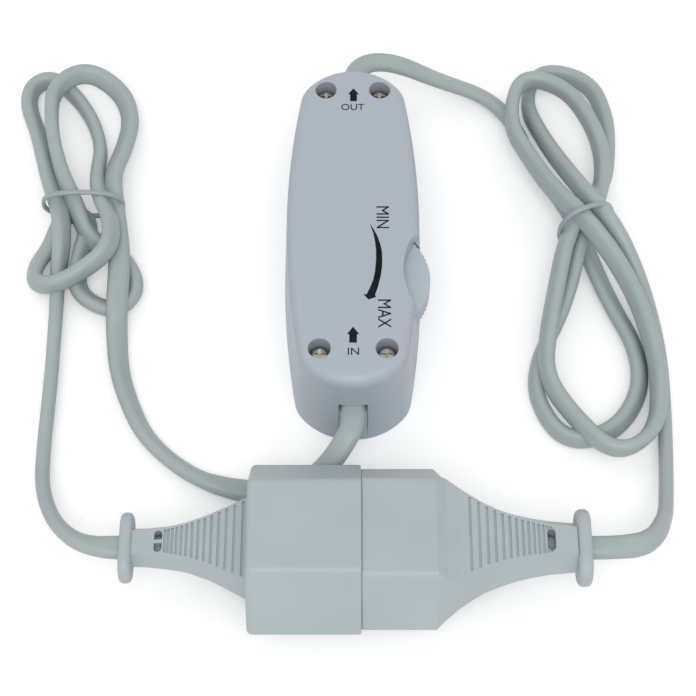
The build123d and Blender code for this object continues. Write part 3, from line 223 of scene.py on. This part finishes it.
# Finishes of the CAD nodes that are shown as they are
CAD_FINISHES = {
    case_white: ("upper_case",),
    base_white: ("lower_case", "input_cord_grip", "output_cord_grip"),
    dial_white: ("dial_wheel",),
    screw_brass: ("case_screws",),
    zinc: ("board_screws", "terminal_screws"),
    laminate: ("circuit_board",),
    can_metal: ("potentiometer_can", "heat_sink"),
    phenolic: ("potentiometer_track",),
    shaft_white: ("potentiometer_shaft",),
    spring_brass: ("wiper", "potentiometer_pins", "socket_contacts"),
    core_yellow: ("choke_core",),
    copper: ("choke_winding",),
    film_yellow: ("suppression_capacitor",),
    cap_red: ("timing_capacitor",),
    resistor_tan: ("resistors",),
    diac_blue: ("diac",),
    fuse_clear: ("fuse_tube",),
    fuse_nickel: ("fuse_caps",),
    epoxy: ("triac",),
    terminal_green: ("input_terminal_block", "output_terminal_block"),
    insulation: ("input_conductors", "output_conductors", "plug_conductors", "socket_conductors"),
    insert_white: ("plug_core", "socket_core"),
    pin_nickel: ("plug_pins",),
    vinyl: ("plug_body", "socket_body"),
}
for finish, names in CAD_FINISHES.items():
    for name in names:
        for holder in nodes[name].material_slots:
            holder.material = finish


# Pieces
def new_piece(name, vertices, faces, material, body=None, smooth=None):
    """Mesh piece from points in metres, on a body; edges above the angle smooth, in degrees, stay sharp."""
    mesh = bpy.data.meshes.new(name)
    mesh.from_pydata(vertices, [], faces)
    mesh.validate()
    mesh.materials.append(material)
    piece = bpy.data.objects.new(name, mesh)
    scene.collection.objects.link(piece)
    for face in mesh.polygons:
        face.use_smooth = True
    if smooth is not None:
        mesh.set_sharp_from_angle(angle=math.radians(smooth))
    if body is not None:
        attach(piece, body)
    return piece


def ring_faces(low, high, size):
    """Faces between two rings of points, which start at low and at high."""
    return [(low + k, low + (k + 1) % size, high + (k + 1) % size, high + k) for k in range(size)]


SPAN_POINTS = 14
SPLINE_ORDER = 3


def spline_points(name, route):
    """Points along the smooth spline that has the route, in millimetres, as its control points."""
    curve = bpy.data.curves.new(name, "CURVE")
    curve.dimensions = "3D"
    spline = curve.splines.new("NURBS")
    spline.points.add(len(route) - 1)
    for point, place in zip(spline.points, route):
        point.co = (*mm(place), 1)
    spline.order_u = SPLINE_ORDER
    spline.use_endpoint_u = True
    spline.resolution_u = SPAN_POINTS
    holder = bpy.data.objects.new(name, curve)
    scene.collection.objects.link(holder)
    bpy.context.view_layer.update()
    mesh = bpy.data.meshes.new_from_object(holder.evaluated_get(bpy.context.evaluated_depsgraph_get()))
    points = [v.co.copy() for v in mesh.vertices]
    bpy.data.meshes.remove(mesh)
    bpy.data.objects.remove(holder)
    return points


CORD_WIDTH = 5.0
CORD_THICKNESS = 3.1
CORD_SMOOTH_ANGLE = 35
ARC_POINTS = 7


def cord_section():
    """Outline of the flat cord: two half circles joined by short flats, in metres."""
    half = (CORD_WIDTH - CORD_THICKNESS) / 2
    radius = CORD_THICKNESS / 2
    outline = []
    for side, first in ((1, -90), (-1, 90)):
        for step in range(ARC_POINTS):
            angle = math.radians(first + 180 * step / (ARC_POINTS - 1))
            outline.append((side * half + radius * math.cos(angle), radius * math.sin(angle)))
    return [(x * MM, z * MM) for x, z in outline]


def flat_cord(name, route, rolls):
    """Flat cord along the route, turned about its own line by rolls, one for each point of the route."""
    line = spline_points(name + "_line", route)
    section = cord_section()
    vertices = []
    faces = []
    count = len(line)
    size = len(section)
    for index, place in enumerate(line):
        after = line[min(index + 1, count - 1)]
        before = line[max(index - 1, 0)]
        ahead = (after - before).normalized()
        side = ahead.cross(Vector((0, 0, 1))).normalized()
        up = side.cross(ahead)
        # Place along the route, in points: the spline is nearest to a point halfway along a span
        share = index / (count - 1) * (len(route) - 2) + 0.5
        left = min(int(share), len(rolls) - 2)
        turn = math.radians(rolls[left] + (rolls[left + 1] - rolls[left]) * (share - left))
        wide = side * math.cos(turn) + up * math.sin(turn)
        thin = up * math.cos(turn) - side * math.sin(turn)
        vertices += [place + wide * x + thin * z for x, z in section]
        if index:
            faces += ring_faces((index - 1) * size, index * size, size)
    faces.append(tuple(range(size))[::-1])
    faces.append(tuple(range((count - 1) * size, count * size)))
    piece = new_piece(name, vertices, faces, cord_vinyl, smooth=CORD_SMOOTH_ANGLE)
    return piece, line


# Routes of the cords in millimetres, from the plug to the casing and from the casing to the socket, and how
# far each cord is turned about its own line at each point of its route, in degrees
IN_ROUTE = [
    (-30, -72.4, 12.2), (-40, -72.4, 12.2), (-48.6, -72.4, 12.2), (-53.6, -71.9, 11.9), (-58.4, -69.2, 9.9),
    (-63.1, -63.6, 6.6), (-66.4, -55.0, 3.7), (-66.9, -45.5, 2.6), (-66.8, -36.2, 2.6), (-66.7, -27.5, 2.6),
    (-66.8, -19.1, 2.6), (-66.9, -10.2, 2.9), (-67.4, -2.6, 2.3), (-66.3, 5.7, 6.3), (-67.5, 14.1, 6.1),
    (-70.4, 22, 4.4), (-72.8, 30.4, 3.8), (-74.9, 37.9, 2.6), (-78.2, 46.0, 2.5), (-77.9, 51.8, 2.6),
    (-73.9, 54.6, 2.6), (-69.0, 51.8, 2.6), (-62.6, 43.0, 2.6), (-59.4, 33.2, 3.2), (-59.9, 24.0, 5.0),
    (-58.3, 16.2, 8.1), (-54.5, 7.8, 10), (-55.2, 0.2, 9.8), (-63.8, -4.6, 6.4), (-69.0, -6.2, 5.6),
    (-72.4, -4.0, 4.3), (-72.3, 1.2, 3.0), (-69.9, 5.6, 2.4), (-68.6, 10.4, 2.3), (-67.5, 14.1, 2.3),
    (-64.6, 15.6, 2.3), (-61.9, 14.1, 2.3), (-61.1, 10.4, 2.4), (-62.7, 3.0, 2.6), (-62.9, -6.5, 2.5),
    (-53.6, -11.4, 2.2), (-48.4, -5.1, 2.5), (-53.6, 4.5, 2.2), (-60.7, 7.0, 4.2), (-64.0, 15.3, 6.6),
    (-67.5, 22.9, 6.9), (-69.9, 30.9, 6.6), (-71.6, 39.3, 6.6), (-71.7, 48.6, 7), (-64.4, 54.6, 6.2),
    (-55.9, 49.6, 4.4), (-52.7, 41.5, 3.9), (-54.0, 32.2, 4.5), (-56.1, 24.0, 6.1), (-55.3, 15.6, 5.7),
    (-53.7, 7.1, 6), (-52.9, -1.1, 5.6), (-53, -10, 5.3), (-53.0, -17, 1.9), (-51.8, -26.5, 2.6),
    (-49.1, -34.4, 2.5), (-45.4, -42.1, 2.5), (-39.3, -48.4, 2.5), (-32.1, -53.1, 2.5), (-23.3, -55.2, 1.8),
    (-15.6, -55.6, 2.3), (-9.2, -54.3, 5.0), (-4.8, -51.8, 9.2), (-1.6, -48.2, 12.6), (-0.2, -45.2, 13.4),
    (0, -41.5, 13.4), (0, -36, 13.4), (0, -29.6, 13.4)]
IN_ROLLS = [
    0, 0, 0, -35, -60, -80, -95, -100, -100, -100, -100, -95, -85, -60, -45, -50,
    -55, -60, -65, -80, -85, -85, -90, -90, -95, -115, -120, -110, -90, -90, -110, -130,
    -140, -140, -150, -150, -140, -125, -120, -130, -140, -130, -130, -115, -115, -105, -95, -90,
    -80, -60, -50, -45, -40, -40, -25, -10, 5, 20, 35, 45, 55, 60, 60, 50,
    0, 0, 0, 0, 0, 0, 0, 0, 0]
OUT_ROUTE = [
    (0, 30.6, 13.4), (0, 37, 13.4), (0, 43, 13.4), (0, 46.0, 13.4), (1.6, 49.6, 13.4),
    (5.2, 51.6, 13.1), (11.3, 51.5, 12.0), (20.6, 50.9, 6.5), (32.1, 49.5, 2.4), (38.5, 41.7, 2.4),
    (41.9, 30.3, 2.5), (47.7, 21, 2.3), (52.1, 10.9, 3.4), (55.2, 0.2, 2.5), (58.6, -9.9, 2.6),
    (63.3, -20.6, 2.6), (63.5, -31.4, 2.5), (57.1, -41.4, 2.6), (45.9, -44.1, 2.7), (39.9, -33.5, 2.7),
    (40.9, -23.5, 2.5), (46.0, -14.3, 3.8), (49.4, -4.3, 5.2), (51.8, 6.0, 6.2), (56.6, 15.5, 6.4),
    (58.9, 26.5, 6.9), (56.8, 37.5, 7.4), (50.6, 48, 8.2), (39.6, 50.9, 8.5), (36.8, 37.4, 7.8),
    (41.2, 28, 7.5), (45.8, 17.7, 9.4), (51.7, 8.9, 12.1), (58.1, 0.3, 10.1), (63, -9.8, 8.4),
    (65.9, -20.1, 7), (67.1, -30.8, 6.6), (65.3, -43.1, 6.1), (56.2, -48.6, 5.8), (47.3, -39.1, 6.3),
    (41.9, -29.5, 6.5), (43.2, -18.6, 6.9), (45.8, -6.8, 7.8), (48.2, 3.9, 8.9), (53.0, 13.6, 8.4),
    (58.4, 21.6, 4.8), (60.3, 31.9, 2.9), (60.9, 42.6, 2.6), (57.6, 53.8, 2.7), (45.2, 57.3, 2.7),
    (41.4, 46.9, 2.5), (45, 35.3, 4.8), (48.6, 25.8, 7.6), (52.9, 15.8, 11.1), (58.6, 6.4, 12.4),
    (63.7, -2, 6.5), (66.9, -12, 3.4), (68.3, -23.2, 2.6), (68.2, -34.6, 2.6), (67.6, -45.5, 2.8),
    (66.6, -55.5, 4.3), (65.2, -64.2, 7.6), (61.0, -70.9, 11.2), (54.5, -72.4, 12.2), (43, -72.4, 12.2),
    (38.4, -72.4, 12.2)]
OUT_ROLLS = [
    0, 0, 0, 0, 5, 5, 10, 30, 40, 50, 50, 50, 45, 45, 45, 50,
    60, 70, 85, 85, 75, 70, 65, 65, 65, 70, 80, 90, 90, 100, 100, 110,
    120, 120, 115, 110, 110, 110, 90, 80, 75, 65, 65, 65, 60, 60, 65, 75,
    85, 95, 95, 95, 100, 105, 105, 100, 90, 85, 80, 80, 80, 75, 50, 0,
    0, 0]
assert len(IN_ROUTE) == len(IN_ROLLS) and len(OUT_ROUTE) == len(OUT_ROLLS)

# Ties: rounded bands round the waists of the hanks
BAND_POINTS = 72
BAND_SMOOTH_ANGLE = 60
BAND_SECTION = (
    (0.6, -0.15), (0.6, 0.15), (0.4, 0.4), (-0.4, 0.4),
    (-0.6, 0.15), (-0.6, -0.15), (-0.4, -0.4), (0.4, -0.4))


def band(name, middle, heading, half_wide, half_high, power, node):
    """Closed band square to the heading, round a rounded oblong about middle, in millimetres."""
    angle = math.radians(heading)
    along = Vector((math.cos(angle), math.sin(angle), 0))
    side = Vector((math.sin(angle), -math.cos(angle), 0))
    up = Vector((0, 0, 1))
    ring = []
    for index in range(BAND_POINTS):
        turn = 2 * math.pi * index / BAND_POINTS
        across = math.copysign(abs(math.cos(turn)) ** (2 / power), math.cos(turn)) * half_wide
        height = math.copysign(abs(math.sin(turn)) ** (2 / power), math.sin(turn)) * half_high
        ring.append(Vector(middle) + side * across + up * height)
    vertices = []
    faces = []
    size = len(BAND_SECTION)
    for index, place in enumerate(ring):
        ahead = (ring[(index + 1) % BAND_POINTS] - ring[index - 1]).normalized()
        outward = ahead.cross(along)
        vertices += [(place + along * x + outward * z) * MM for x, z in BAND_SECTION]
        faces += ring_faces(index * size, (index + 1) % BAND_POINTS * size, size)
    piece = new_piece(name, vertices, faces, tie_white, "housing", BAND_SMOOTH_ANGLE)
    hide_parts(node)


# Each: name, middle, heading in degrees, half width, half height, squareness, and the node that it replaces
band("in_tie_band", (-62.2, 15.5, 6.3), 90, 9.2, 4.9, 2.5, "in_hank_tie")
band("out_tie_band", (53.2, 9.2, 7.7), 110, 6.4, 7.2, 2.4, "out_hank_tie")


in_cord, in_line = flat_cord("in_cord", IN_ROUTE, IN_ROLLS)
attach(in_cord, "housing")
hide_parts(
    "in_cord_lead", "in_cord_hank", "in_cord_plug_lead", "in_cord_case_end", "in_cord_plug_end")

out_cord, out_line = flat_cord("out_cord", OUT_ROUTE, OUT_ROLLS)
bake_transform(out_cord)
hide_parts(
    "out_cord_lead", "out_cord_hank", "out_cord_socket_lead", "out_cord_case_end",
    "out_cord_socket_end")


# Markings: thin print on the casing's flat top
TOP_Z = round(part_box("upper_case")[1].z / MM, 3)
PRINT_SUNK = 0.01
PRINT_RAISED = 0.03
TEXT_DEPTH = 0.1


def print_faces(name, outline):
    """Filled outline, in millimetres, as thin print on the top face."""
    count = len(outline)
    vertices = [mm((x, y, TOP_Z - PRINT_SUNK)) for x, y in outline]
    vertices += [mm((x, y, TOP_Z + PRINT_RAISED)) for x, y in outline]
    faces = [tuple(range(count))[::-1], tuple(range(count, 2 * count))]
    faces += ring_faces(0, count, count)
    new_piece(name, vertices, faces, ink, "housing")


def lettering(name, text, box, turned=False):
    """Text as thin print on the top face, filling the box (x low, y low, x high, y high) in millimetres."""
    curve = bpy.data.curves.new(name, "FONT")
    curve.body = text
    curve.extrude = TEXT_DEPTH
    holder = bpy.data.objects.new(name, curve)
    scene.collection.objects.link(holder)
    bpy.context.view_layer.update()
    mesh = bpy.data.meshes.new_from_object(holder.evaluated_get(bpy.context.evaluated_depsgraph_get()))
    places = [(v.co.y, -v.co.x, v.co.z) if turned else tuple(v.co) for v in mesh.vertices]
    faces = [tuple(face.vertices) for face in mesh.polygons]
    bpy.data.meshes.remove(mesh)
    bpy.data.objects.remove(holder)
    low_x, low_y = min(p[0] for p in places), min(p[1] for p in places)
    wide, high = max(p[0] for p in places) - low_x, max(p[1] for p in places) - low_y
    vertices = []
    for x, y, z in places:
        x = box[0] + (x - low_x) / wide * (box[2] - box[0])
        y = box[1] + (y - low_y) / high * (box[3] - box[1])
        vertices.append(mm((x, y, TOP_Z + (PRINT_RAISED if z > 0 else -PRINT_SUNK))))
    new_piece(name, vertices, faces, ink, "housing")


# Outlines in millimetres. The sweep arrow has its outer edge first, then its head, then its inner edge
SWEEP_ARROW = [
    (3.68, -1.72), (4.06, -2.36), (4.49, -3.17), (5.29, -4.94), (5.94, -7.17), (6.2, -8.76),
    (6.26, -10.35), (6.22, -12.56), (5.87, -15.06), (5.32, -17.55), (4.64, -19.72),
    (4.85, -20.18), (3.25, -20.83), (2.11, -19.41),
    (2.83, -19.57), (3.59, -17.87), (4.26, -16.0), (4.68, -13.81), (4.92, -10.98), (4.94, -8.45),
    (4.74, -6.22), (4.35, -3.97), (3.82, -2.2)]
OUT_ARROW = [
    (0.15, 34.91), (1.37, 33.27), (0.92, 33.27), (0.91, 31.3),
    (-0.62, 31.3), (-0.62, 33.27), (-1.08, 33.27)]
IN_ARROW = [
    (-0.03, -27.47), (1.25, -29.24), (0.77, -29.24), (0.76, -31.3),
    (-0.83, -31.3), (-0.83, -29.24), (-1.31, -29.24)]
print_faces("sweep_arrow", SWEEP_ARROW)
print_faces("out_arrow", OUT_ARROW)
print_faces("in_arrow", IN_ARROW)
lettering("out_word", "OUT", (-2.61, 28.82, 2.56, 30.52))
lettering("in_word", "IN", (-1.14, -34.22, 1.22, -32.5))
lettering("min_word", "MIN", (5.11, -2.84, 7.83, 2.83), True)
lettering("max_word", "MAX", (5.26, -27.73, 8.04, -20.81), True)


# Floor, light and background
def flat_sheet(name, half, material):
    """Square sheet under the object, which isn't part of it."""
    corners = [(-half, -half, 0.0), (half, -half, 0.0), (half, half, 0.0), (-half, half, 0.0)]
    mesh = bpy.data.meshes.new(name)
    mesh.from_pydata(corners, [], [(0, 1, 2, 3)])
    mesh.materials.append(material)
    sheet = bpy.data.objects.new(name, mesh)
    scene.collection.objects.link(sheet)


# Half the floor's side in metres, and the glow that only the camera sees on it, which sheds no light
FLOOR_HALF = 3.0
FLOOR_GLOW = 0.24
floor_white, floor_tree, floor_surface = shader("floor_white", (0.93, 0.93, 0.93), 0.9, 0.1)
camera_ray = floor_tree.nodes.new("ShaderNodeLightPath")
floor_glow = floor_tree.nodes.new("ShaderNodeMath")
floor_glow.operation = "MULTIPLY"
floor_glow.inputs[1].default_value = FLOOR_GLOW
floor_tree.links.new(camera_ray.outputs["Is Camera Ray"], floor_glow.inputs[0])
floor_tree.links.new(floor_glow.outputs[0], floor_surface.inputs["Emission Strength"])
floor_surface.inputs["Emission Color"].default_value = (1, 1, 1, 1)
flat_sheet("floor", FLOOR_HALF, floor_white)


def lamp(name, place, size, power):
    """Soft area lamp aimed at the origin."""
    light = bpy.data.lights.new(name, "AREA")
    light.shape = "DISK"
    light.size = size
    light.energy = power
    holder = bpy.data.objects.new(name, light)
    scene.collection.objects.link(holder)
    holder.location = place
    holder.rotation_euler = (Vector() - Vector(place)).to_track_quat("-Z", "Y").to_euler()


# Lamps: name, place and size in metres, power in watts
lamp("key", (-0.45, 0.35, 0.9), 0.7, 0.38)
lamp("fill", (0.7, -0.3, 0.8), 0.8, 0.3)
lamp("front", (0.0, -0.6, 1.0), 0.8, 4.2)

# Strength of the world as light on the object, and as the white that is seen, also in metal and glass
WORLD_LIGHT = 0.68
WORLD_SEEN = 1.0
world = bpy.data.worlds.new("world")
scene.world = world
world.use_nodes = True
world_tree = world.node_tree
backing = world_tree.nodes["Background"]
backing.inputs["Color"].default_value = (1, 1, 1, 1)
world_ray = world_tree.nodes.new("ShaderNodeLightPath")
seen = world_ray.outputs["Is Camera Ray"]
for kind in ("Is Glossy Ray", "Is Transmission Ray"):
    either = world_tree.nodes.new("ShaderNodeMath")
    either.operation = "MAXIMUM"
    world_tree.links.new(seen, either.inputs[0])
    world_tree.links.new(world_ray.outputs[kind], either.inputs[1])
    seen = either.outputs[0]
strength = spread(world_tree, seen, 0, 1, WORLD_LIGHT, WORLD_SEEN)
world_tree.links.new(strength, backing.inputs["Strength"])
